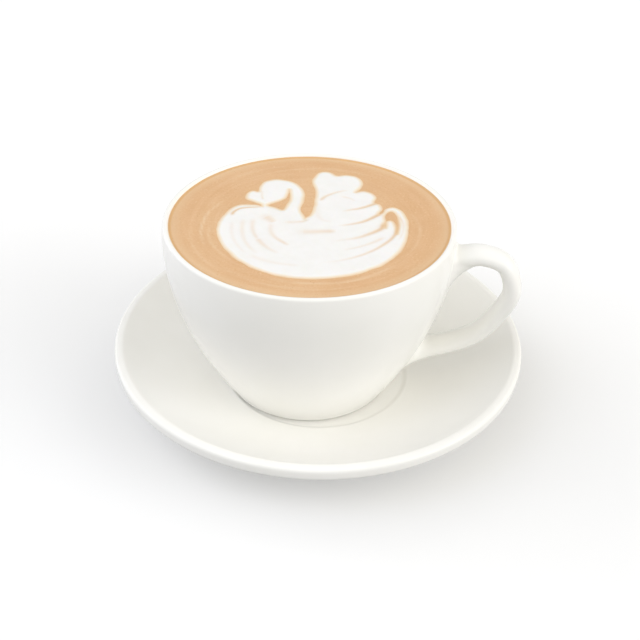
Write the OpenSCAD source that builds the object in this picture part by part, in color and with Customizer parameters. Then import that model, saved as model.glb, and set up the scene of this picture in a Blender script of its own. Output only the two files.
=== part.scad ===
// A latte in a round cup on its saucer, with a swan of milk foam on top.
// Millimetres. The origin is on the table under the saucer's centre.
// +Z is up, and the cup's handle points along +X.

/* [Saucer] */
// Outer diameter of the saucer
saucer_d = 160; // [130:1:220]
// Height of the saucer's rim above the table
saucer_h = 24.5; // [20:0.5:34]
// Thickness of the saucer's wall
saucer_wall = 4.4; // [3.5:0.1:5]
// Thickness of the rolled edge of the saucer
saucer_edge = 4.8; // [3:0.1:6]
// Height of the well's floor, where the cup stands
well_z = 4.5; // [4.2:0.1:6]
// Depth of the well below the saucer's curve
well_step = 0.9; // [0.4:0.1:1.2]
// Inner radius of the ring that the saucer stands on
stand_in = 38; // [34:0.5:44]
// Width of that ring
stand_w = 3.6; // [2.5:0.1:6]

/* [Cup] */
// Widest diameter of the cup
cup_d = 109.2; // [90:0.2:134]
// Height of the cup, from foot to rim
cup_h = 71.5; // [58:0.5:88]
// Diameter of the cup's foot
foot_d = 61.6; // [50:0.2:74]
// Width of the ring under the foot
foot_w = 3.2; // [2.5:0.1:5]
// Height of the hollow under the foot
foot_rise = 1.6; // [0.8:0.1:2.5]
// Rounding between the foot and the wall
foot_round = 1.6; // [1.4:0.1:2.5]
// How far below the rim the cup is widest
belly_drop = 8; // [5:0.5:12]
// How much the rim draws in above that
rim_in = 0.5; // [0:0.1:1.5]
// Thickness of the lip
lip_w = 2.2; // [1.8:0.1:3]
// Thickness of the wall near the floor
wall_w = 5.4; // [4:0.1:7]
// Thickness of the floor
floor_t = 5.5; // [4:0.1:7]
// How much wider the saucer's well is than the foot, on each side
well_play = 4.9; // [2.5:0.1:7]
// Direction in which the cup has slid within the well
slide_turn = 191; // [0:1:360]

/* [Handle] */
// How far the handle stands out from the widest point
handle_reach = 25; // [20:0.5:30]
// Height of the upper root's middle below the rim
handle_top = 10; // [9:0.5:14]
// Height between the roots of the handle
handle_rise = 42; // [34:0.5:50]
// Width of the handle's strap
strap_w = 10.2; // [8:0.1:13]
// Thickness of the strap
strap_t = 6.2; // [5:0.1:8]
// How much deeper the strap's underside is at its upper root
root_flare = 4; // [2:0.5:6]
// How much wider and thicker the strap is on every other side of its roots
root_swell = 2; // [0.5:0.1:3]

/* [Drink] */
// Level of the coffee below the rim
level_drop = 1.2; // [1.2:0.1:20]
// Depth of the milk foam below that level
foam_depth = 1.2; // [0.8:0.1:2]
// Height of the milk foam above that level
foam_rise = 0.3; // [0.2:0.05:0.6]
// Depth of the grooves between the foam's feathers
groove_depth = 0.5; // [0.3:0.05:0.7]
// Turn of the swan within the cup
swan_turn = 11; // [0:1:360]

/* [Hidden] */
$fn = 96;

// The cup stands in the well, slid until its wall is nearly against the edge.
well_gap = 0.2;
foot_r = foot_d / 2;
well_r = foot_r + well_play;
slide = well_play + well_step - foot_round - well_gap;
edge_r = saucer_edge / 2;

// Heights above the table.
rim_z = well_z + cup_h;
belly_z = rim_z - belly_drop;
floor_z = well_z + foot_rise + floor_t;
lip_z = rim_z - lip_w / 2;
level_z = rim_z - level_drop;

// How full the curves of the saucer and the cup are.
saucer_power = 1.45;
cup_power = 1.8;
steps = 20;

// Points on a smooth curve through the points p: a Catmull-Rom spline with n steps a span.
function bend(a, b, c, d, t) = b + t / 2 * (c - a + t * (2 * a - 5 * b + 4 * c - d
    + t * (3 * b - a - 3 * c + d)));
function ring(p, n) = let (m = len(p))
    [for (i = [0:m - 1], k = [0:n - 1])
        bend(p[(i + m - 1) % m], p[i], p[(i + 1) % m], p[(i + 2) % m], k / n)];
function path(p, n) = let (m = len(p))
    concat(
        [for (i = [0:m - 2], k = [0:n - 1])
            bend(p[max(i - 1, 0)], p[i], p[i + 1], p[min(i + 2, m - 1)], k / n)],
        [p[m - 1]]
    );
function unit(v) = v / norm(v);

// Saucer: the middle of its wall runs out and up from the well to the rolled edge.
wall_in = [well_r + well_step, well_z + well_step - saucer_wall / 2];
wall_out = [saucer_d / 2 - edge_r, saucer_h - edge_r];
function saucer_mid(u) = [
    wall_in[0] + (wall_out[0] - wall_in[0]) * u,
    wall_in[1] + (wall_out[1] - wall_in[1]) * pow(u, saucer_power)
];
function saucer_normal(u) = let (
        d = wall_out - wall_in,
        slope = d[1] * saucer_power * pow(u, saucer_power - 1)
    ) unit([-slope, d[0]]);
function saucer_half(u) = saucer_wall / 2 + (edge_r - saucer_wall / 2) * u;
function saucer_side(side) = [for (i = [0:steps]) let (u = i / steps)
    saucer_mid(u) + side * saucer_half(u) * saucer_normal(u)];
edge_turn = atan2(saucer_normal(1)[1], saucer_normal(1)[0]);
function saucer_roll() = [for (a = [edge_turn - 15:-15:edge_turn - 165])
    wall_out + edge_r * [cos(a), sin(a)]];

module saucer() {
    underside = wall_in[1] - saucer_wall / 2;
    top = saucer_side(1);
    bottom = saucer_side(-1);
    color("whitesmoke") rotate_extrude() polygon(concat(
        [[0, underside], [0, well_z], [well_r, well_z]],
        top, saucer_roll(), [for (i = [steps:-1:0]) bottom[i]]
    ));
    // The ring that the saucer stands on.
    stand_round = 0.8;
    color("whitesmoke") rotate_extrude() polygon([
        [stand_in - stand_round, well_z - 1.5], [stand_in, 0],
        [stand_in + stand_w - stand_round, 0], [stand_in + stand_w, stand_round],
        [stand_in + stand_w + stand_round, well_z - 1.5]
    ]);
}

// Cup: the outer radius at a height above the table.
function cup_r(z) = z > belly_z
    ? cup_d / 2 - rim_in * pow((z - belly_z) / belly_drop, 2)
    : let (low = well_z + foot_round)
        cup_d / 2 - (cup_d / 2 - foot_r - foot_round) * pow((belly_z - z) / (belly_z - low), cup_power);
// The wall thickens from the lip down to the floor.
function wall(z) = lip_w + (wall_w - lip_w) * (lip_z - z) / (lip_z - floor_z);
function hollow_r(z) = cup_r(z) - wall(z);

function cup_outside() = [for (i = [0:steps]) let (
        low = well_z + foot_round,
        z = low + (lip_z - low) * i / steps
    ) [cup_r(z), z]];
function cup_foot() = [for (a = [0:15:75])
    [foot_r + foot_round * sin(a), well_z + foot_round * (1 - cos(a))]];
function cup_lip() = [for (a = [15:15:165])
    [cup_r(lip_z) - lip_w / 2 + lip_w / 2 * cos(a), lip_z + lip_w / 2 * sin(a)]];

// The inside, from the middle of its floor up to the lip.
hollow_round = [14, 7];
function hollow() = let (low = floor_z + hollow_round[1])
    concat(
        [[0, floor_z]],
        [for (a = [0:15:75]) [
            hollow_r(low) + hollow_round[0] * (sin(a) - 1),
            low - hollow_round[1] * cos(a)
        ]],
        [for (i = [0:steps]) let (z = low + (lip_z - low) * i / steps) [hollow_r(z), z]]
    );

// The handle's middle line, in the plane y = 0: out from the upper root, round and back in.
root_z = rim_z - handle_top;
low_z = root_z - handle_rise;
function on_loop(out, up) = [
    cup_d / 2 + (handle_reach - strap_t / 2) * out,
    low_z + handle_rise * up
];
function handle_line() = path([
    [cup_r(root_z) - lip_w, root_z],
    on_loop(0.13, 1.03),
    on_loop(0.45, 1.06),
    on_loop(0.83, 0.99),
    on_loop(1.00, 0.74),
    on_loop(0.85, 0.51),
    on_loop(0.41, 0.21),
    [cup_r(low_z) + strap_t / 2, low_z],
    [cup_r(low_z) - wall_w, low_z - 1.5]
], 5);
// The strap swells towards its roots over this length of the line.
flare_run = 16;
function flare(d) = d < flare_run ? pow(1 - d / flare_run, 2) : 0;
function lengths(p) = [for (i = 0, s = 0; i < len(p);
    s = s + (i < len(p) - 1 ? norm(p[i + 1] - p[i]) : 0), i = i + 1) s];

module handle() {
    sides = 16;
    line = handle_line();
    run = lengths(line);
    last = len(line) - 1;
    function at(i) = let (
            d = unit(line[min(i + 1, last)] - line[max(i - 1, 0)]),
            swell = root_swell * (flare(run[i]) + flare(run[last] - run[i])),
            under = strap_t / 2 + swell + root_flare * flare(run[i])
        )
        [for (k = [0:sides - 1]) let (
            a = 360 * k / sides,
            n = sin(a) * (a > 180 ? under : strap_t / 2 + swell)
        ) [
            line[i][0] - d[1] * n,
            (strap_w / 2 + swell) * cos(a),
            line[i][1] + d[0] * n
        ]];
    polyhedron(
        points = [for (i = [0:last]) each at(i)],
        faces = concat(
            [[for (k = [0:sides - 1]) k]],
            [for (i = [0:last - 1], k = [0:sides - 1]) let (a = i * sides, b = (k + 1) % sides)
                [a + k, a + sides + k, a + sides + b, a + b]],
            [[for (k = [sides - 1:-1:0]) last * sides + k]]
        ),
        convexity = 6
    );
}

module on_saucer() {
    translate([slide * cos(slide_turn), slide * sin(slide_turn), 0]) children();
}

module cup() {
    inner = hollow();
    core = [for (i = [0:steps]) let (
            low = well_z + foot_round,
            z = low + (rim_z - low) * i / steps
        ) [cup_r(z) - wall(z) / 2, z]];
    color("white") on_saucer() {
        rotate_extrude() polygon(concat(
            [
                [0, well_z + foot_rise],
                [foot_r - foot_w - foot_rise, well_z + foot_rise],
                [foot_r - foot_w, well_z]
            ],
            cup_foot(), cup_outside(), cup_lip(),
            [for (i = [len(inner) - 1:-1:0]) inner[i]]
        ));
        // The handle ends within the wall.
        difference() {
            handle();
            rotate_extrude() polygon(concat(
                [[0, well_z]], [[core[0][0], well_z]], core, [[0, rim_z]]
            ));
        }
    }
}

// The swan, seen from above with the cup's axis at the origin, drawn on a surface of this radius.
swan_ref = 52;
swan_scale = hollow_r(level_z) / swan_ref;
breast = [
    [-31, 5], [-33.5, -5], [-32, -15], [-26.5, -25.5], [-18, -34], [-7, -38.7], [5, -39],
    [17, -35.5], [27, -28], [33.5, -17], [36, -4], [35, 6], [32, 10.5], [29, 9.5], [26, 5],
    [14, 2], [2, -1], [-5, 1], [-11, 7.5], [-16, 9], [-21, 11], [-27, 10.5]
];
head = [
    [-17.5, 8.5], [-18.3, 11.8], [-21, 14], [-24, 16], [-24.2, 19.5], [-22.3, 22], [-19.9, 21.8],
    [-19.3, 26], [-17.6, 30], [-13.5, 31.8], [-8.5, 30.8], [-4.9, 27.5], [-2.4, 21.5], [-2.8, 15],
    [-4, 8], [-2, 2], [-3, -3], [-10, -3], [-12.5, 3], [-13, 8]
];
wing = [
    [-2, -1], [0.3, 4], [1.4, 9], [2.2, 16], [2.3, 24], [1.2, 30], [1.8, 34.5], [4.3, 38.7],
    [7.8, 38.5], [10.5, 35.8], [14, 36.3], [18, 35], [20.2, 31], [19.5, 26.5], [17.3, 22.3],
    [20.5, 23], [23.6, 21.5], [25, 18], [24.2, 14.4], [26.3, 12.8], [26.8, 9.3], [25.4, 5.8],
    [27.2, 3], [27.3, 0], [26, -5], [20, -10], [8, -10]
];
// The coffee shows through between the head and the neck, and inside the tail's hook.
neck_gap = [
    [-8.2, 24], [-8.9, 20], [-10, 16.8], [-13, 14], [-16.3, 11], [-13, 9], [-10, 7.6],
    [-8.3, 12], [-7.3, 17], [-7.6, 21]
];
tail_gap = [
    [27.7, 4], [29.2, 7.4], [31.4, 7.6], [32.8, 3], [32.8, -3], [31.7, -9], [31.4, -4],
    [30.8, -0.8], [29.6, 0.5], [28.4, -1], [27.8, -5], [27.2, -2], [27.6, 1]
];
// Grooves between the feathers: each is the width in its middle, then its line.
grooves = [
    [1.2, [[3.5, 15.5], [5.5, 19], [9, 22.2], [14.5, 24]]],
    [1.4, [[24.6, 14.6], [21, 12], [17, 9], [12.5, 7]]],
    [1.5, [[25.8, 5.8], [23, 3], [19, -0.8], [13, -3.2]]],
    [1.3, [[27, -3], [25, -6.5], [20.5, -10.5], [14, -13.4], [7, -14.8]]],
    [1.1, [[31.4, -9], [28.5, -14], [22.5, -20.5], [14.5, -26.5], [5, -29.3]]],
    [0.8, [[22, -14], [19.5, -17.5], [15.5, -20.2], [10.5, -22]]],
    [0.9, [[-20, -1], [-21, -7], [-19.5, -13], [-14, -22]]],
    [1.1, [[-15, -4], [-15, -8.5], [-12.5, -13.5], [-6.5, -19.5]]],
    [0.8, [[-25.5, -2], [-25.3, -10], [-23, -18], [-18.5, -25.5]]],
    [0.9, [[-29.3, 4], [-28, 7.5], [-25.3, 9.3], [-20, 9.6]]],
    [1.4, [[-2.5, -8.3], [1, -8.1], [5.5, -8], [10, -8.2]]]
];

// A flat piece with a smooth outline, from height z0 to z1.
module blob(outline, z0, z1) {
    translate([0, 0, z0]) linear_extrude(z1 - z0) polygon(ring(outline, 4));
}

// A groove is a line that is widest in its middle and pointed at both ends.
module groove(w, line, z0, z1) {
    p = path(line, 6);
    last = len(p) - 1;
    function side(i, s) = let (d = unit(p[min(i + 1, last)] - p[max(i - 1, 0)]))
        p[i] + s * w / 2 * sqrt(sin(180 * i / last)) * [-d[1], d[0]];
    translate([0, 0, z0]) linear_extrude(z1 - z0) polygon(concat(
        [p[0]], [for (i = [1:last - 1]) side(i, 1)], [p[last]],
        [for (i = [last - 1:-1:1]) side(i, -1)]
    ));
}

module swan(z0, z1) {
    past = 1;
    difference() {
        union() {
            blob(breast, z0, z1);
            blob(head, z0, z1);
            blob(wing, z0, z1);
        }
        blob(neck_gap, z0 - past, z1 + past);
        blob(tail_gap, z0 - past, z1 + past);
    }
}

module in_cup() {
    on_saucer() rotate([0, 0, swan_turn]) translate([0, 0, level_z])
        scale([swan_scale, swan_scale, 1]) children();
}

module coffee() {
    inner = hollow();
    above = 5;
    color("burlywood") difference() {
        on_saucer() rotate_extrude() polygon(concat(inner, [[0, lip_z]]));
        on_saucer() translate([0, 0, level_z]) cylinder(h = above, r = cup_d);
        in_cup() swan(-foam_depth, above);
    }
}

module milk_foam() {
    above = 1;
    color("ivory") in_cup() difference() {
        swan(-foam_depth, foam_rise);
        for (g = grooves) groove(g[0], g[1], foam_rise - groove_depth, foam_rise + above);
    }
}

saucer();
cup();
coffee();
milk_foam();
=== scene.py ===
"""A latte in a white cup on its saucer, with a swan poured in milk foam."""
import math

import bmesh
import bpy
import numpy as np
from mathutils import Matrix, Vector, noise


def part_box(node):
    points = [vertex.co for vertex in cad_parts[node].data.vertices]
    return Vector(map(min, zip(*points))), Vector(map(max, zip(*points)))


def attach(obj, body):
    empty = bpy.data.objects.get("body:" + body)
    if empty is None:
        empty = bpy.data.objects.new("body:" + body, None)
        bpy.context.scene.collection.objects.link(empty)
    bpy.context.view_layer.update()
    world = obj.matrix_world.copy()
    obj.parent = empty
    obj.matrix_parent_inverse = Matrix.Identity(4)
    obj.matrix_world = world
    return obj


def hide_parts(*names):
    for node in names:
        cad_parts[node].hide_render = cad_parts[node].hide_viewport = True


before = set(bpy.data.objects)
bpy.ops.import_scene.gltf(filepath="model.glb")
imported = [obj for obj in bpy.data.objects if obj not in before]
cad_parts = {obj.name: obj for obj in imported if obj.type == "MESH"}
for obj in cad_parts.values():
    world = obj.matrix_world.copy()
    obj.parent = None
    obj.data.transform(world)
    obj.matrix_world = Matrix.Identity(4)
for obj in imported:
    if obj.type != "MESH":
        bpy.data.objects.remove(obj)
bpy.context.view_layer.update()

MM = 0.001
FULL_TURN = 2 * math.pi

# ---------------------------------------------------------------- sizes, in millimetres
# What the frame says: where the cup stands and how large each node is.
cup_low, cup_high = (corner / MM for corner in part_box("cup"))
saucer_low, saucer_high = (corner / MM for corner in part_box("saucer"))
coffee_low, coffee_high = (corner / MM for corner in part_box("coffee"))
foam_low, foam_high = (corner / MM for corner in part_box("milk_foam"))

AXIS = Vector(((coffee_low.x + coffee_high.x) / 2, (coffee_low.y + coffee_high.y) / 2, 0))
CUP_R = (cup_high.y - cup_low.y) / 2
FOOT_Z = cup_low.z
RIM_Z = cup_high.z
LEVEL_Z = coffee_high.z
SAUCER_R = (saucer_high.y - saucer_low.y) / 2
SAUCER_Z = saucer_high.z

# Cup, as the part is drawn.
FOOT_R = 30.8
FOOT_ROUND = 1.6
FOOT_RISE = 1.6
FOOT_W = 3.2
BELLY_Z = RIM_Z - 8
BELLY_POWER = 1.8
RIM_IN = 0.5
LIP_W = 2.2
WALL_W = 5.4
FLOOR_Z = FOOT_Z + FOOT_RISE + 5.5
LIP_Z = RIM_Z - LIP_W / 2
# The round at the bottom of the hollow, across and up.
HOLLOW_ROUND = (14, 7)
HOLLOW_LOW = FLOOR_Z + HOLLOW_ROUND[1]

# Saucer.
WELL_R = 35.7
WELL_STEP = 0.9
SAUCER_WALL = 4.4
EDGE_R = 2.4
SAUCER_POWER = 1.45
STAND_IN = 38
STAND_OUT = 41.6
# Power of the edge's outline: 2 would be a circle, and more is squarer.
EDGE_SQUARE = 4

# Handle.
STRAP_W = 10.2
STRAP_T = 6.2
ROOT_Z = RIM_Z - 10
LOOP_RISE = 42
LOOP_OUT = cup_high.x - AXIS.x - CUP_R - STRAP_T / 2
# The edge of each root runs this far on along the wall, and this deep under its glaze.
SKIRT_RUN = 1.5
SKIRT_DIP = 0.06

# The swan is turned this far from the handle's plane.
SWAN_TURN = math.radians(11)


# ---------------------------------------------------------------- small helpers
def colour(hex_value):
    """An sRGB hex colour, such as 'E6BE93', as linear red, green, blue and alpha."""
    parts = [int(hex_value[i:i + 2], 16) / 255 for i in (0, 2, 4)]
    return [p / 12.92 if p <= 0.04045 else ((p + 0.055) / 1.055) ** 2.4 for p in parts] + [1]


def smooth(low, high, x):
    """0 below low, 1 above high and an S between them. Works on numbers and on arrays."""
    t = np.clip((x - low) / (high - low), 0, 1)
    return t * t * (3 - 2 * t)


def spline(points, t):
    """The point at t on a Catmull-Rom curve through points, one unit of t to a span."""
    last = len(points) - 1
    i = min(int(t), last - 1)
    t -= i
    a, b, c, d = (np.array(points[max(0, min(k, last))], float) for k in range(i - 1, i + 3))
    return b + t / 2 * (c - a + t * (2 * a - 5 * b + 4 * c - d + t * (3 * b - a - 3 * c + d)))


def arc(centre, radii, start, end, count):
    """Points of an arc from start to end degrees, the first one left out."""
    angles = [math.radians(start + (end - start) * k / count) for k in range(1, count + 1)]
    return [(centre[0] + radii[0] * math.cos(a), centre[1] + radii[1] * math.sin(a)) for a in angles]


def turn_profile(bm, profile, steps):
    """Spins a closed outline of (radius, height) points that starts and ends on the axis."""
    verts = [bm.verts.new((r, 0, z)) for r, z in profile]
    edges = [bm.edges.new(pair) for pair in zip(verts, verts[1:])]
    bmesh.ops.spin(bm, geom=verts + edges, cent=(0, 0, 0), axis=(0, 0, 1), angle=FULL_TURN,
                   steps=steps, use_merge=True)
    bmesh.ops.remove_doubles(bm, verts=bm.verts, dist=0.001)
    bmesh.ops.recalc_face_normals(bm, faces=bm.faces)


def finish_piece(name, bm, material, node):
    """Turns a bmesh in millimetres into a smooth piece in metres that rides on the body and
    takes the place of that node, which it hides."""
    bmesh.ops.scale(bm, vec=(MM, MM, MM), verts=bm.verts)
    for face in bm.faces:
        face.smooth = True
    mesh = bpy.data.meshes.new(name)
    bm.to_mesh(mesh)
    bm.free()
    mesh.materials.append(material)
    piece = bpy.data.objects.new(name, mesh)
    bpy.context.collection.objects.link(piece)
    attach(piece, "root")
    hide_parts(node)
    return piece


# ---------------------------------------------------------------- materials
def add_node(tree, kind, links=None, values=None, **settings):
    """Adds a node with its settings, its unlinked input values and its links."""
    node = tree.nodes.new(kind)
    for key, value in settings.items():
        setattr(node, key, value)
    for key, value in (values or {}).items():
        node.inputs[key].default_value = value
    for key, socket in (links or {}).items():
        tree.links.new(socket, node.inputs[key])
    return node


def new_tree(name):
    material = bpy.data.materials.new(name)
    material.use_nodes = True
    material.node_tree.nodes.clear()
    return material, material.node_tree


def ramp(tree, factor, stops):
    """A colour ramp through (position, hex colour) stops."""
    node = add_node(tree, "ShaderNodeValToRGB", {"Fac": factor})
    elements = node.color_ramp.elements
    while len(elements) < len(stops):
        elements.new(0.5)
    for element, (position, value) in zip(elements, stops):
        element.position = position
        element.color = colour(value)
    return node.outputs["Color"]


def mix(tree, factor, first, second):
    """Two colours mixed; a factor may be a number or a socket."""
    node = tree.nodes.new("ShaderNodeMix")
    node.data_type = "RGBA"
    factor_in, first_in, second_in = node.inputs[0], node.inputs[6], node.inputs[7]
    for socket, value in ((factor_in, factor), (first_in, first), (second_in, second)):
        if isinstance(value, bpy.types.NodeSocket):
            tree.links.new(value, socket)
        else:
            socket.default_value = value
    return node.outputs[2]


def texture_noise(tree, vector, size_mm, detail=2, roughness=0.5):
    """Noise whose features are about size_mm across."""
    return add_node(tree, "ShaderNodeTexNoise", {"Vector": vector},
                    {"Scale": 1 / (size_mm * MM), "Detail": detail, "Roughness": roughness}
                    ).outputs["Fac"]


def ramp_value(tree, value, low, high, most):
    """A number that rises softly from 0 where value is low to most where it is high."""
    return add_node(tree, "ShaderNodeMapRange", {"Value": value},
                    {"From Min": low, "From Max": high, "To Max": most},
                    interpolation_type="SMOOTHSTEP").outputs["Result"]


def bump(tree, height, distance_mm, strength, under=None):
    """A bump of that depth, on top of another one if under is given."""
    links = {"Height": height}
    if under:
        links["Normal"] = under
    return add_node(tree, "ShaderNodeBump", links,
                    {"Distance": distance_mm * MM, "Strength": strength}).outputs["Normal"]


def white_porcelain():
    """Hotel porcelain: dense warm-white clay under a clear glaze, fired glossy. The eye sees a
    milky white body, wide soft reflections and a faint waviness where the glaze has run."""
    material, tree = new_tree("glazed_white_porcelain")
    place = add_node(tree, "ShaderNodeTexCoord").outputs["Object"]
    # The tone drifts a very little over 30 mm, as glaze does with its thickness.
    drift = texture_noise(tree, place, 30)
    tone = ramp(tree, drift, [(0.3, "F7F6F1"), (0.7, "FAF9F5")])
    # Glaze runs in waves of about 12 mm, under an orange peel of about 0.8 mm.
    run = bump(tree, texture_noise(tree, place, 12, 1), 0.1, 0.25)
    skin = bump(tree, texture_noise(tree, place, 0.8, 1), 0.008, 0.1, run)
    shader = add_node(tree, "ShaderNodeBsdfPrincipled", {"Base Color": tone, "Normal": skin},
                      {"Roughness": 0.22, "IOR": 1.5, "Specular IOR Level": 0.3})
    add_node(tree, "ShaderNodeOutputMaterial", {"Surface": shader.outputs["BSDF"]})
    return material


def latte_surface():
    """Espresso crema and steamed milk in one skin. The attribute milk runs from 0, crema, to 1,
    foam, swirl marks pale trails in the crema and groove marks the lines in the foam. The eye
    sees a soft tan with round streaks and pinhole bubbles, and a satin white foam whose borders
    are the colour of cream."""
    material, tree = new_tree("crema_and_milk_foam")
    place = add_node(tree, "ShaderNodeTexCoord").outputs["Object"]
    centred = add_node(tree, "ShaderNodeMapping", {"Vector": place},
                       {"Location": (-AXIS.x * MM, -AXIS.y * MM, -LEVEL_Z * MM)}).outputs["Vector"]
    flat = add_node(tree, "ShaderNodeVectorMath", {0: centred}, {1: (1, 1, 0)},
                    operation="MULTIPLY").outputs["Vector"]
    radius = add_node(tree, "ShaderNodeVectorMath", {0: flat}, operation="LENGTH").outputs["Value"]

    # Streaks run round the cup: the noise is slow along the turn and quick across it.
    heading = add_node(tree, "ShaderNodeVectorMath", {0: flat}, operation="NORMALIZE").outputs["Vector"]
    slow = add_node(tree, "ShaderNodeVectorMath", {0: heading}, {"Scale": 1.6},
                    operation="SCALE").outputs["Vector"]
    streak_mm = 1.8
    across = add_node(tree, "ShaderNodeMath", {0: radius}, {1: 1 / (streak_mm * MM)},
                      operation="MULTIPLY").outputs[0]
    lift = add_node(tree, "ShaderNodeCombineXYZ", {"Z": across}).outputs["Vector"]
    track = add_node(tree, "ShaderNodeVectorMath", {0: slow, 1: lift}, operation="ADD").outputs["Vector"]
    streaks = add_node(tree, "ShaderNodeTexNoise", {"Vector": track},
                       {"Scale": 1, "Detail": 4, "Roughness": 0.6}).outputs["Fac"]
    streak_tone = ramp(tree, streaks, [(0.3, "DAAF83"), (0.5, "DFB68A"), (0.68, "E4BD94")])
    patch_tone = ramp(tree, texture_noise(tree, place, 22, 3), [(0.35, "DAAD80"), (0.65, "E3BC92")])
    crema = mix(tree, 0.5, streak_tone, patch_tone)
    # The crema is a dense froth: grains of 0.9 mm, some of them pale.
    grain = texture_noise(tree, place, 0.9, 2, 0.7)
    crema = mix(tree, ramp_value(tree, grain, 0.55, 0.75, 0.55), crema, colour("EBCBA3"))
    crema = mix(tree, ramp_value(tree, grain, 0.45, 0.28, 0.5), crema, colour("D6A777"))
    # Towards the wall it is thinner and paler; close to it a browner ring is painted shade from the lip, and
    # its last line is cream.
    edge = ramp_value(tree, radius, 46.5 * MM, 51 * MM, 0.6)
    crema = mix(tree, edge, crema, colour("E5C49C"))
    # Painted shade: a browner ring just inside the wall stands in for the lip's shadow on the crema.
    crema = mix(tree, ramp_value(tree, radius, 50.6 * MM, 51.5 * MM, 0.7), crema, colour("D9A970"))
    crema = mix(tree, ramp_value(tree, radius, 51.75 * MM, 52.0 * MM, 0.6), crema, colour("EBD3B2"))
    # Pale trails where milk was drawn through the crema.
    swirl = add_node(tree, "ShaderNodeAttribute", attribute_name="swirl").outputs["Fac"]
    crema = mix(tree, swirl, crema, colour("ECD0AC"))
    # Pinhole bubbles of about 0.5 mm, drawn a little coarser than real so that they show.
    pinholes = add_node(tree, "ShaderNodeTexVoronoi", {"Vector": place}, {"Scale": 1 / (1.1 * MM)},
                        feature="F1").outputs["Distance"]
    pit = ramp_value(tree, pinholes, 0.24, 0.06, 1)
    rare = ramp_value(tree, texture_noise(tree, place, 4, 2), 0.52, 0.68, 1)
    pitted = add_node(tree, "ShaderNodeMath", {0: pit, 1: rare}, operation="MULTIPLY").outputs[0]
    crema = mix(tree, pitted, crema, colour("C89A6C"))

    # Foam: white, with faint warm clouds where a little coffee has mixed in.
    clouds = texture_noise(tree, place, 6, 3, 0.6)
    foam = ramp(tree, clouds, [(0.35, "F1F0ED"), (0.65, "F4F3F1")])
    milk = add_node(tree, "ShaderNodeAttribute", attribute_name="milk").outputs["Fac"]
    # From crema to foam through several creams.
    border = ramp(tree, milk, [
        (0.0, "DFB68A"), (0.06, "E4C29B"), (0.16, "E8CCA9"), (0.32, "ECD6B8"), (0.5, "F0DFC7"),
        (0.7, "F1E7D8"), (0.85, "F1ECE2"), (1.0, "F3F2EF")
    ])
    from_crema = add_node(tree, "ShaderNodeMapRange", {"Value": milk}, {"From Max": 0.12}).outputs["Result"]
    to_foam = add_node(tree, "ShaderNodeMapRange", {"Value": milk}, {"From Min": 0.85}).outputs["Result"]
    skin = mix(tree, from_crema, crema, border)
    skin = mix(tree, to_foam, skin, foam)
    # The grooves in the foam are beige, where it is thin over the coffee.
    groove = add_node(tree, "ShaderNodeAttribute", attribute_name="groove").outputs["Fac"]
    skin = mix(tree, groove, skin, colour("DFB98C"))

    # Crema is uneven at 5 mm and foam is fine and close at 0.5 mm.
    swell = bump(tree, texture_noise(tree, place, 5), 0.05, 0.3)
    froth = bump(tree, pinholes, 0.03, 0.12, swell)
    shader = add_node(tree, "ShaderNodeBsdfPrincipled", {"Base Color": skin, "Normal": froth},
                      {"Roughness": 0.48, "IOR": 1.36, "Subsurface Weight": 0.08,
                       "Subsurface Radius": (1, 0.7, 0.4), "Subsurface Scale": 0.5 * MM})
    add_node(tree, "ShaderNodeOutputMaterial", {"Surface": shader.outputs["BSDF"]})
    return material


# ---------------------------------------------------------------- saucer
def saucer_profile():
    """Up the underside's stand, out along the underside, round the rolled edge and back in."""
    start = (WELL_R + WELL_STEP, FOOT_Z + WELL_STEP - SAUCER_WALL / 2)
    end = (SAUCER_R - EDGE_R, SAUCER_Z - EDGE_R)
    run, rise = end[0] - start[0], end[1] - start[1]
    steps = 36

    def side(u, sign):
        slope = rise * SAUCER_POWER * max(u, 1e-6) ** (SAUCER_POWER - 1)
        length = math.hypot(run, slope)
        half = SAUCER_WALL / 2 + (EDGE_R - SAUCER_WALL / 2) * u
        return (start[0] + run * u - sign * half * slope / length,
                start[1] + rise * u ** SAUCER_POWER + sign * half * run / length)

    under = FOOT_Z + WELL_STEP - SAUCER_WALL
    edge_turn = math.degrees(math.atan2(run, -rise * SAUCER_POWER))
    stand_round = 0.9
    bottom = [side(k / steps, -1) for k in range(steps + 1)]
    # The edge is round on its inner half and squarish outside, where it stands nearly upright.
    edge = []
    for turn in np.radians(np.linspace(edge_turn - 180, edge_turn, 23)):
        out, up = math.cos(turn), math.sin(turn)
        square = (out ** EDGE_SQUARE + up ** EDGE_SQUARE) ** (-1 / EDGE_SQUARE) if out > 0 else 1
        edge.append((end[0] + EDGE_R * square * out, end[1] + EDGE_R * square * up))
    return (
        [(0, under), (STAND_IN - 4, under), (STAND_IN - 2, under - 0.05)]
        + [(STAND_IN - 0.6, under - 0.6), (STAND_IN, 0.2), (STAND_IN + 0.4, 0), (STAND_OUT - stand_round, 0)]
        + arc((STAND_OUT - stand_round, stand_round), (stand_round, stand_round), -90, 0, 4)
        + [(STAND_OUT + 0.2, 1.5), (STAND_OUT + 0.9, 2.1)]
        + [p for p in bottom if p[0] > STAND_OUT + 2]
        + edge
        + [side(k / steps, 1) for k in range(steps - 1, 2, -1)]
        + [(WELL_R + 1.2 - 0.3 * k, FOOT_Z + WELL_STEP * smooth(9, 0, k)) for k in range(10)]
        + [(WELL_R - 4, FOOT_Z), (0, FOOT_Z)]
    )


def build_saucer(porcelain):
    bm = bmesh.new()
    turn_profile(bm, saucer_profile(), 160)
    return finish_piece("saucer_dish", bm, porcelain, "saucer")


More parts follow.
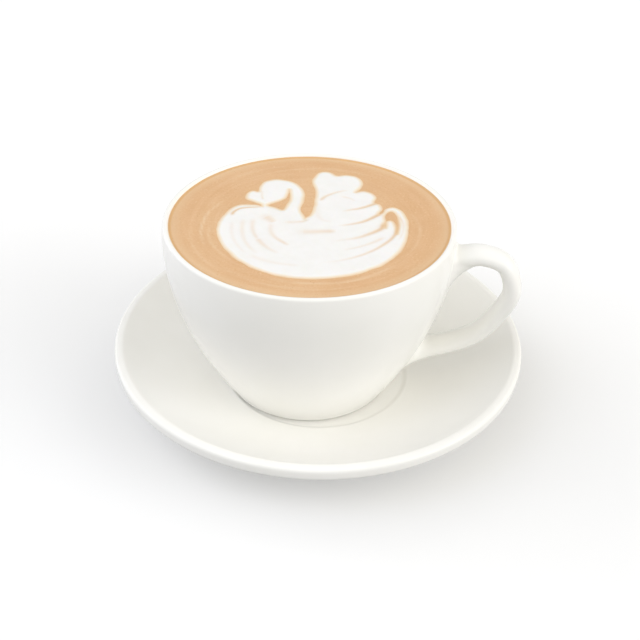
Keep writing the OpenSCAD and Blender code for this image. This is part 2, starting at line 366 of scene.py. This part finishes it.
# ---------------------------------------------------------------- cup
def cup_radius(z):
    """Outer radius of the cup at a height, and how fast it grows with height."""
    if z > BELLY_Z:
        t = (z - BELLY_Z) / (RIM_Z - BELLY_Z)
        return CUP_R - RIM_IN * t * t, -2 * RIM_IN * t / (RIM_Z - BELLY_Z)
    low = FOOT_Z + FOOT_ROUND
    narrow = CUP_R - FOOT_R - FOOT_ROUND
    t = (BELLY_Z - z) / (BELLY_Z - low)
    slope = narrow * BELLY_POWER * t ** (BELLY_POWER - 1) / (BELLY_Z - low)
    return CUP_R - narrow * t ** BELLY_POWER, slope


def hollow_radius(z):
    wall = LIP_W + (WALL_W - LIP_W) * (LIP_Z - z) / (LIP_Z - FLOOR_Z)
    return cup_radius(z)[0] - wall


def cup_profile():
    """Under the foot, up the outside, over the lip and down the inside."""
    low = FOOT_Z + FOOT_ROUND
    steps = 44
    outside = [low + (LIP_Z - low) * k / steps for k in range(1, steps + 1)]
    inside = [LIP_Z + (HOLLOW_LOW - LIP_Z) * k / steps for k in range(1, steps + 1)]
    lip_r = cup_radius(LIP_Z)[0] - LIP_W / 2
    return (
        [(0, FOOT_Z + FOOT_RISE), (FOOT_R - FOOT_W - 3, FOOT_Z + FOOT_RISE)]
        + [(FOOT_R - FOOT_W - 1.2, FOOT_Z + FOOT_RISE - 0.2), (FOOT_R - FOOT_W, FOOT_Z + 0.3)]
        + [(FOOT_R - FOOT_W + 0.4, FOOT_Z), (FOOT_R - 1.2, FOOT_Z)]
        + arc((FOOT_R - 1.2, low), (FOOT_ROUND + 1.2, FOOT_ROUND), -90, 0, 10)
        + [(cup_radius(z)[0], z) for z in outside]
        + arc((lip_r, LIP_Z), (LIP_W / 2, LIP_W / 2), 0, 180, 10)
        + [(hollow_radius(z), z) for z in inside]
        + arc((hollow_radius(HOLLOW_LOW) - HOLLOW_ROUND[0], HOLLOW_LOW), HOLLOW_ROUND, 0, -90, 8)
        + [(0, FLOOR_Z)]
    )


def on_loop(out, up):
    """A point of the handle's middle line: shares of its reach and of the rise between roots."""
    return (CUP_R + LOOP_OUT * out, ROOT_Z - LOOP_RISE + LOOP_RISE * up)


def handle_line():
    low_z = ROOT_Z - LOOP_RISE
    low_r = cup_radius(low_z)[0]
    return [
        (cup_radius(ROOT_Z)[0] - LIP_W, ROOT_Z), on_loop(0.13, 1.03), on_loop(0.45, 1.06),
        on_loop(0.83, 0.99), on_loop(1.00, 0.74), on_loop(0.85, 0.51), on_loop(0.41, 0.21),
        (low_r + STRAP_T / 2, low_z), (low_r - WALL_W, low_z - 1.5)
    ]


def strap_point(line, t, angle):
    """A point of the plain strap at t along its line, and the way out from its middle there."""
    here = spline(line, t)
    ahead = spline(line, min(t + 0.01, len(line) - 1.001)) - spline(line, max(t - 0.01, 0))
    ahead /= np.linalg.norm(ahead)
    # It is thickest at the bend and at the upper root, and widest at both roots.
    fat = 1 + 0.12 * math.exp(-((t - 4.4) / 1.1) ** 2) + 0.2 * math.exp(-(t / 1.8) ** 2)
    wide = 1 + 0.16 * math.exp(-(t / 1.9) ** 2) + 0.16 * math.exp(-((t - 7) / 1.9) ** 2)
    c, s = math.cos(angle), math.sin(angle)
    squarish = 0.92
    across = STRAP_W / 2 * wide * math.copysign(abs(c) ** squarish, c)
    out = STRAP_T / 2 * fat * math.copysign(abs(s) ** squarish, s)
    point = Vector((here[0] - ahead[1] * out, across, here[1] + ahead[0] * out))
    away = Vector((-ahead[1] * s / STRAP_T, c / STRAP_W, ahead[0] * s / STRAP_T)).normalized()
    return point, away


def wall_distance(point):
    """How far a point is outside the cup's wall, and the wall's own direction there."""
    r = math.hypot(point.x, point.y)
    wall_r, slope = cup_radius(point.z)
    level = math.sqrt(1 + slope * slope)
    return (r - wall_r) / level, Vector((point.x / r, point.y / r, -slope)) / level


def strand(line, angle, upper_fillet, lower_fillet, turns, body_rows):
    """One line along the strap from its upper root to its lower one. Near each root it runs out
    onto the cup's wall along a quarter circle, so that the strap grows out of the wall."""
    last = len(line) - 1

    def at_distance(wanted, inner, outer):
        for _ in range(26):
            middle = (inner + outer) / 2
            if wall_distance(strap_point(line, middle, angle)[0])[0] < wanted:
                inner = middle
            else:
                outer = middle
        return outer

    def root(fillet, inner, outer):
        rows = []
        for k in range(turns + 1):
            turn = math.pi / 2 * (k / turns) ** 1.4
            gap = fillet * (1 - math.cos(turn))
            t = at_distance(gap, inner, outer)
            point, away = strap_point(line, t, angle)
            _, normal = wall_distance(point)
            along = away - normal * away.dot(normal)
            if along.length > 1e-6:
                along.normalize()
            point = point + along * fillet * (1 - math.sin(turn))
            if not rows:
                # The skin's edge slides under the glaze at a slight slope, so that no line shows.
                edge = point + along * SKIRT_RUN
                off, normal = wall_distance(edge)
                rows.append(edge - normal * (off + SKIRT_DIP))
            off, normal = wall_distance(point)
            rows.append(point + normal * (gap - off))
        return rows, t

    upper, t_start = root(upper_fillet, 0.0, 2.6)
    lower, t_end = root(lower_fillet, last - 0.001, last - 2.6)
    body = [strap_point(line, t_start + (t_end - t_start) * k / body_rows, angle)[0]
            for k in range(1, body_rows)]
    return upper + body + lower[::-1]


def add_handle(bm):
    line = handle_line()
    sides, turns, body_rows = 48, 12, 64
    rows = 2 * (turns + 2) + body_rows - 1
    strands = []
    for k in range(sides):
        angle = FULL_TURN * k / sides
        outward = math.sin(angle)
        # The upper root runs far down the wall underneath, and hardly spreads on top.
        upper = 3 + 8.5 * max(0.0, -outward) ** 1.5 - 1.8 * max(0.0, outward)
        lower = 6 + 1.5 * outward
        strands.append(strand(line, angle, upper, lower, turns, body_rows))
    before = set(bm.verts)
    bmesh.ops.create_grid(bm, x_segments=rows - 1, y_segments=sides, size=1)
    grid = [v for v in bm.verts if v not in before]
    for vert in grid:
        row = round((vert.co.x + 1) / 2 * (rows - 1))
        side = round((vert.co.y + 1) / 2 * sides) % sides
        vert.co = strands[side][row]
    bmesh.ops.remove_doubles(bm, verts=grid, dist=0.0005)
    skin = [v for v in bm.verts if v not in before]
    ends = {e for v in skin for e in v.link_edges if e.is_boundary}
    bmesh.ops.holes_fill(bm, edges=list(ends), sides=0)
    faces = list({f for v in skin for f in v.link_faces})
    bmesh.ops.recalc_face_normals(bm, faces=faces)


def build_cup(porcelain):
    bm = bmesh.new()
    turn_profile(bm, cup_profile(), 192)
    add_handle(bm)
    bmesh.ops.translate(bm, vec=AXIS, verts=bm.verts)
    return finish_piece("cup_and_handle", bm, porcelain, "cup")


# ---------------------------------------------------------------- drink
# Pale trails in the crema and tan grooves in the foam, seen with the cup's axis at the origin and
# the swan upright. Each has its width, its strength and its line.
CREMA_TRAILS = [
    (0.5, 0.85, [(-33, 14), (-37.6, 6), (-39.3, -3), (-39.2, -11), (-37, -19)]),
    (0.5, 0.5, [(-36.2, -4), (-36.4, -12), (-33.4, -20), (-28, -27.4)]),
    (0.6, 0.75, [(-14, -39.5), (-2, -42.2), (10, -41.6), (21, -37.2), (30, -29.6)]),
    (0.5, 0.4, [(-30, -33), (-22, -39.4), (-10, -44.6), (4, -46), (18, -43)]),
    (0.5, 0.4, [(-43.5, -6), (-42, -17), (-37.4, -27), (-30, -35)]),
    (0.6, 0.45, [(38.5, 6), (40.4, -4), (38.6, -15), (33.6, -25)]),
    (0.6, 0.35, [(-24, 33), (-12, 39.4), (2, 42), (17, 39.6), (28, 33)]),
    (0.7, 0.3, [(-40, 20), (-32, 31), (-21, 39.6), (-9, 44)]),
]
# Grooves: width, strength at the first end, strength at the last end, line.
GROOVES = [
    (0.65, 0.85, 0.65, [(-29, 3.4), (-28.4, 5.6), (-26.4, 8), (-23.4, 9), (-20.6, 9.3), (-18, 9.7)]),
    (0.7, 0.6, 0.15, [(4.1, 15.6), (5.8, 18.4), (9, 21.1), (12.2, 22.9), (15, 23.6)]),
    (0.75, 0.85, 0.2, [(24.9, 13.5), (21.3, 10.9), (18.2, 9.2), (15.2, 8.2), (11.8, 6.8)]),
    (0.8, 0.95, 0.15, [(25.8, 5.1), (23.4, 2.6), (20.2, -0.2), (17, -1.9), (13.4, -3.1), (9.6, -4)]),
    (0.95, 1.0, 0.2, [(27.2, -2), (26.2, -5.2), (24.2, -7.4), (20.8, -10), (16.6, -12.5), (7.6, -15.2)]),
    (0.75, 1.0, 0.2, [(31.2, 4), (32.1, 0), (32.2, -4), (31.4, -8), (29.8, -12), (27.2, -15.8),
                      (23.2, -20.2), (18, -24.3), (11.5, -27.6), (3, -30)]),
    (0.7, 0.35, 0.15, [(26.4, -12.2), (22.4, -15.6), (17.4, -18.7), (11.6, -21)]),
    (0.55, 0.35, 0.2, [(33.6, 3), (34.4, -2), (33.8, -8), (31.8, -14)]),
    (0.6, 0.25, 0.12, [(12.6, 18.4), (15.4, 17), (17.2, 14.6)]),
    (0.85, 0.26, 0.42, [(-21, -0.6), (-20.9, -6), (-20, -10.6), (-18.2, -14.9)]),
    (0.9, 0.42, 0.15, [(-18.6, -14), (-16.8, -17.4), (-14.2, -20.8), (-10.6, -23.8)]),
    (0.9, 0.2, 0.55, [(-14.2, -3), (-14.2, -8), (-12.6, -12.4), (-9.8, -15.7), (-7.2, -18.4)]),
    (0.85, 0.22, 0.2, [(-24.7, -1), (-24.6, -8), (-23.5, -14), (-21.4, -19.4), (-18, -24.4)]),
    (0.7, 0.16, 0.14, [(-28.6, -3), (-28, -11), (-25.6, -18.6), (-21.6, -25)]),
    (1.0, 0.14, 0.16, [(-20.4, -25.4), (-15.4, -28.6), (-9.6, -30.6), (-3, -31.6)]),
    (1.7, 0.45, 0.35, [(-16.4, 2), (-14.6, 0), (-13.4, -2.2)]),
    (1.5, 0.3, 0.55, [(-2.6, -8.6), (1, -8.5), (5.4, -8), (9.8, -7.8)]),
    (0.8, 0.25, 0.5, [(-8.4, -1.8), (-5.2, -1.5), (-2.4, -0.9), (-0.4, 0.8)]),
    (0.5, 0.2, 0.4, [(-18.7, 22), (-18.6, 18.4), (-17.9, 15)]),
    (1.0, 0.14, 0.12, [(2.4, 13), (2.4, 6), (4.4, 0.6), (8.4, -1)]),
]


def build_coffee(skin):
    """The coffee fills the cup to its level and climbs a little where it meets the wall."""
    surface_r = hollow_radius(LEVEL_Z)
    into_wall = 0.3
    rings = 64
    side_steps = 12
    round_r, round_h = HOLLOW_ROUND
    flat_r = hollow_radius(HOLLOW_LOW) - round_r
    sides = [HOLLOW_LOW + (LEVEL_Z - HOLLOW_LOW) * k / side_steps for k in range(side_steps)]
    climb = [(surface_r + into_wall, LEVEL_Z + 0.4), (surface_r, LEVEL_Z + 0.38)]
    top = [surface_r * (rings - k) / rings for k in range(1, rings + 1)]
    profile = (
        [(0, FLOOR_Z - into_wall), (flat_r, FLOOR_Z - into_wall)]
        + arc((flat_r, HOLLOW_LOW), (round_r + into_wall, round_h + into_wall), -90, 0, 6)[:-1]
        + [(hollow_radius(z) + into_wall, z) for z in sides]
        + climb + [(r, LEVEL_Z) for r in top]
    )
    bm = bmesh.new()
    turn_profile(bm, profile, 256)
    swirl = bm.verts.layers.float.new("swirl")
    milk = bm.verts.layers.float.new("milk")
    groove = bm.verts.layers.float.new("groove")
    turned = Matrix.Rotation(-SWAN_TURN, 3, "Z")
    trails = [sample_line(points) for _, _, points in CREMA_TRAILS]
    for vert in bm.verts:
        vert[milk] = 0
        vert[groove] = 0
        if vert.co.z < LEVEL_Z - 0.01 or vert.co.xy.length > surface_r + 0.01:
            continue
        r = vert.co.xy.length
        near_wall = smooth(surface_r - 1.6, surface_r, r)
        lumps = noise.noise(Vector((vert.co.x, vert.co.y, 3)) / 7)
        if r < surface_r - 0.01:
            vert.co.z += 0.3 * near_wall ** 2 + 0.035 * lumps * (1 - near_wall)
        local = turned @ vert.co
        amount = 0.0
        for (width, strength, _), points in zip(CREMA_TRAILS, trails):
            gap, along = nearest(points, local.x, local.y)
            amount = max(amount, strength * math.exp(-(gap / width) ** 2) * math.sin(math.pi * along) ** 0.6)
        vert[swirl] = amount
    bmesh.ops.translate(bm, vec=AXIS, verts=bm.verts)
    return finish_piece("coffee_with_crema", bm, skin, "coffee")


def sample_line(points, per_span=12):
    count = (len(points) - 1) * per_span
    return np.array([spline(points, min(k / per_span, len(points) - 1.0001)) for k in range(count + 1)])


def nearest(points, x, y):
    """Distance to the nearest sampled point of a line, and how far along the line that is."""
    gaps = np.hypot(points[:, 0] - x, points[:, 1] - y)
    k = int(gaps.argmin())
    return float(gaps[k]), k / (len(points) - 1)


def foam_walls():
    """The foam's outline from above, as pairs of (x, y) ends in millimetres about the cup's axis."""
    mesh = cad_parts["milk_foam"].data
    mesh.calc_loop_triangles()
    corners = np.array([v.co for v in mesh.vertices]) / MM - np.array(AXIS)
    deep = foam_low.z + 0.1
    pairs = set()
    for triangle in mesh.loop_triangles:
        points = corners[list(triangle.vertices)]
        foot = sorted((round(float(p[0]), 4), round(float(p[1]), 4)) for p in points if p[2] < deep)
        if abs(triangle.normal.z) < 0.1 and len(foot) == 2 and foot[0] != foot[1]:
            pairs.add(tuple(foot))
    return np.array(sorted(pairs))


def signed_distance(x, y, walls):
    """Distance from the points x, y to the outline: above 0 within it, below 0 outside."""
    ax, ay, bx, by = walls[:, 0, 0], walls[:, 0, 1], walls[:, 1, 0], walls[:, 1, 1]
    gap = np.full(x.shape, 1e9)
    crossings = np.zeros(x.shape, int)
    for k in range(len(walls)):
        dx, dy = bx[k] - ax[k], by[k] - ay[k]
        t = np.clip(((x - ax[k]) * dx + (y - ay[k]) * dy) / (dx * dx + dy * dy), 0, 1)
        gap = np.minimum(gap, np.hypot(x - ax[k] - t * dx, y - ay[k] - t * dy))
        spans = (ay[k] > y) != (by[k] > y)
        if dy:
            crossings += spans & (x < ax[k] + (y - ay[k]) * dx / dy)
    return np.where(crossings % 2 == 1, gap, -gap)


def build_foam(skin):
    """The swan as a thin skin of foam: domed a little, soft at its edges, with sunk grooves."""
    step = 0.27
    low, high = foam_low - AXIS, foam_high - AXIS
    margin = 2.0
    wide, deep = high.x - low.x + 2 * margin, high.y - low.y + 2 * margin
    bm = bmesh.new()
    bmesh.ops.create_grid(bm, x_segments=round(wide / step), y_segments=round(deep / step), size=0.5)
    bmesh.ops.scale(bm, vec=(wide, deep, 1), verts=bm.verts)
    bmesh.ops.translate(bm, vec=((low.x + high.x) / 2, (low.y + high.y) / 2, 0), verts=bm.verts)
    milk = bm.verts.layers.float.new("milk")
    swirl = bm.verts.layers.float.new("swirl")
    groove = bm.verts.layers.float.new("groove")
    verts = list(bm.verts)
    place = np.array([v.co for v in verts])
    x, y = place[:, 0], place[:, 1]
    wander = np.array([noise.noise(Vector((a, b, 5)) / 4) for a, b in zip(x, y)])
    inside = signed_distance(x, y, foam_walls()) + 0.3 * wander
    cos, sin = math.cos(-SWAN_TURN), math.sin(-SWAN_TURN)
    upright_x, upright_y = x * cos - y * sin, x * sin + y * cos

    tan = np.zeros(len(x))
    for width, first, last, points in GROOVES:
        line = sample_line(points)
        gaps = np.hypot(upright_x[:, None] - line[:, 0], upright_y[:, None] - line[:, 1])
        along = gaps.argmin(axis=1) / (len(line) - 1)
        ends = np.clip(0.5 + 6 * along, 0, 1) * np.clip(5 - 5 * along, 0, 1)
        strength = (first + (last - first) * along ** 1.4) * ends
        tan = np.maximum(tan, strength * np.exp(-(gaps.min(axis=1) / (width * (1.2 - 0.4 * along))) ** 2))

    dome = 0.3 * smooth(-1.2, 2.4, inside) - 0.03
    height = LEVEL_Z + dome - 0.14 * tan * smooth(0, 2, inside)
    cream = smooth(-1.1, 1.6, inside) * (1 - 0.2 * tan)
    for k, vert in enumerate(verts):
        vert.co.z = height[k]
        vert[milk] = cream[k]
        vert[swirl] = 0
        vert[groove] = 0.85 * tan[k]
    outside = [v for k, v in enumerate(verts) if inside[k] < -1.5]
    bmesh.ops.delete(bm, geom=outside, context="VERTS")
    # The skin is closed below by a rim that goes down and a flat underside.
    rim = [e for e in bm.edges if e.is_boundary]
    grown = bmesh.ops.extrude_edge_only(bm, edges=rim)["geom"]
    lower = [g for g in grown if isinstance(g, bmesh.types.BMVert)]
    for vert in lower:
        vert.co.z = foam_low.z
    base = [e for e in bm.edges if e.is_boundary]
    bmesh.ops.triangle_fill(bm, edges=base, use_beauty=True)
    bmesh.ops.recalc_face_normals(bm, faces=bm.faces)
    bmesh.ops.translate(bm, vec=AXIS, verts=bm.verts)
    return finish_piece("swan_of_milk_foam", bm, skin, "milk_foam")


# ---------------------------------------------------------------- stage, lights and camera
def build_stage():
    """A pale matt table top."""
    bm = bmesh.new()
    bmesh.ops.create_grid(bm, x_segments=1, y_segments=1, size=3)
    mesh = bpy.data.meshes.new("table")
    bm.to_mesh(mesh)
    bm.free()
    material, tree = new_tree("pale_matt_table")
    place = add_node(tree, "ShaderNodeTexCoord").outputs["Object"]
    tone = ramp(tree, texture_noise(tree, place, 60), [(0.3, "FAFAFA"), (0.7, "FBFBFB")])
    shader = add_node(tree, "ShaderNodeBsdfPrincipled", {"Base Color": tone}, {"Roughness": 0.8})
    add_node(tree, "ShaderNodeOutputMaterial", {"Surface": shader.outputs["BSDF"]})
    mesh.materials.append(material)
    floor = bpy.data.objects.new("table", mesh)
    bpy.context.collection.objects.link(floor)
    # The tent lights the cup from below; the table adds no glare of its own.
    floor.visible_diffuse = False


# The room is a white tent with broad soft windows. Each has its heading from the viewer's side (0 in
# front, 90 to the right), its height in degrees, its brightness and its tint.
WINDOWS = [
    (0, 52, 1.49, "FFF8E2"),
    (60, 22, 2.6, "FCFDFF"),
    (80, 22, 2.05, "FFFCF8"),
    (120, 30, 0.6, "FFF8E0"),
    (240, 25, 2.1, "FEFEFF"),
    (280, 22, 1.9, "F4F7FF"),
    (300, 52, 1.49, "E4EBFF"),
]
# The even light from all round, and how sharply a window fades away from its middle.
TENT = 0.455
WINDOW_FALL = 16


def light_room():
    """Soft light from all round, with broad windows that fade out gently."""
    world = bpy.data.worlds.new("white_tent")
    bpy.context.scene.world = world
    world.use_nodes = True
    tree = world.node_tree
    tree.nodes.clear()
    heading = add_node(tree, "ShaderNodeTexCoord").outputs["Generated"]
    total = add_node(tree, "ShaderNodeCombineXYZ", None, {"X": TENT, "Y": TENT, "Z": TENT}).outputs["Vector"]
    for turn, height, strength, tint in WINDOWS:
        towards = Matrix.Rotation(SWAN_TURN + math.radians(turn), 3, "Z") @ Vector((0, -1, 0))
        towards *= math.cos(math.radians(height))
        towards.z = math.sin(math.radians(height))
        facing = add_node(tree, "ShaderNodeVectorMath", {0: heading}, {1: towards},
                          operation="DOT_PRODUCT").outputs["Value"]
        lit = add_node(tree, "ShaderNodeMath", {0: facing}, {1: 0}, operation="MAXIMUM").outputs[0]
        fade = add_node(tree, "ShaderNodeMath", {0: lit}, {1: WINDOW_FALL}, operation="POWER").outputs[0]
        glow = [part * strength for part in colour(tint)[:3]]
        window = add_node(tree, "ShaderNodeVectorMath", {"Scale": fade}, {0: glow}, operation="SCALE")
        total = add_node(tree, "ShaderNodeVectorMath", {0: total, 1: window.outputs["Vector"]},
                         operation="ADD").outputs["Vector"]
    background = add_node(tree, "ShaderNodeBackground", {"Color": total})
    add_node(tree, "ShaderNodeOutputWorld", {"Surface": background.outputs["Background"]})
    bpy.context.scene.view_settings.view_transform = "Standard"


# Where the camera is and what it looks at, before the turn, its lens and how far it leans.
CAMERA_PLACE = (-3.5 * MM, -332.8 * MM, 264.9 * MM)
CAMERA_AIM = (0.5 * MM, 0, 29.9 * MM)
CAMERA_LENS = 58.06
CAMERA_LEAN = 1.2


def place_camera():
    """In front and 35 degrees above, turned 11 degrees from the handle's plane."""
    turn = Matrix.Rotation(SWAN_TURN, 3, "Z")
    place = turn @ Vector(CAMERA_PLACE)
    aim = turn @ Vector(CAMERA_AIM)
    camera_data = bpy.data.cameras.new("camera")
    camera_data.lens = CAMERA_LENS
    camera_data.sensor_width = 36
    camera_data.clip_start = 0.01
    camera = bpy.data.objects.new("camera", camera_data)
    tilt = Matrix.Rotation(math.radians(CAMERA_LEAN), 4, "Z")
    look = (aim - place).to_track_quat("-Z", "Y").to_matrix().to_4x4()
    camera.matrix_world = Matrix.Translation(place) @ look @ tilt
    bpy.context.collection.objects.link(camera)
    bpy.context.scene.camera = camera


porcelain = white_porcelain()
skin = latte_surface()
build_saucer(porcelain)
build_cup(porcelain)
build_coffee(skin)
build_foam(skin)
build_stage()
light_room()
place_camera()
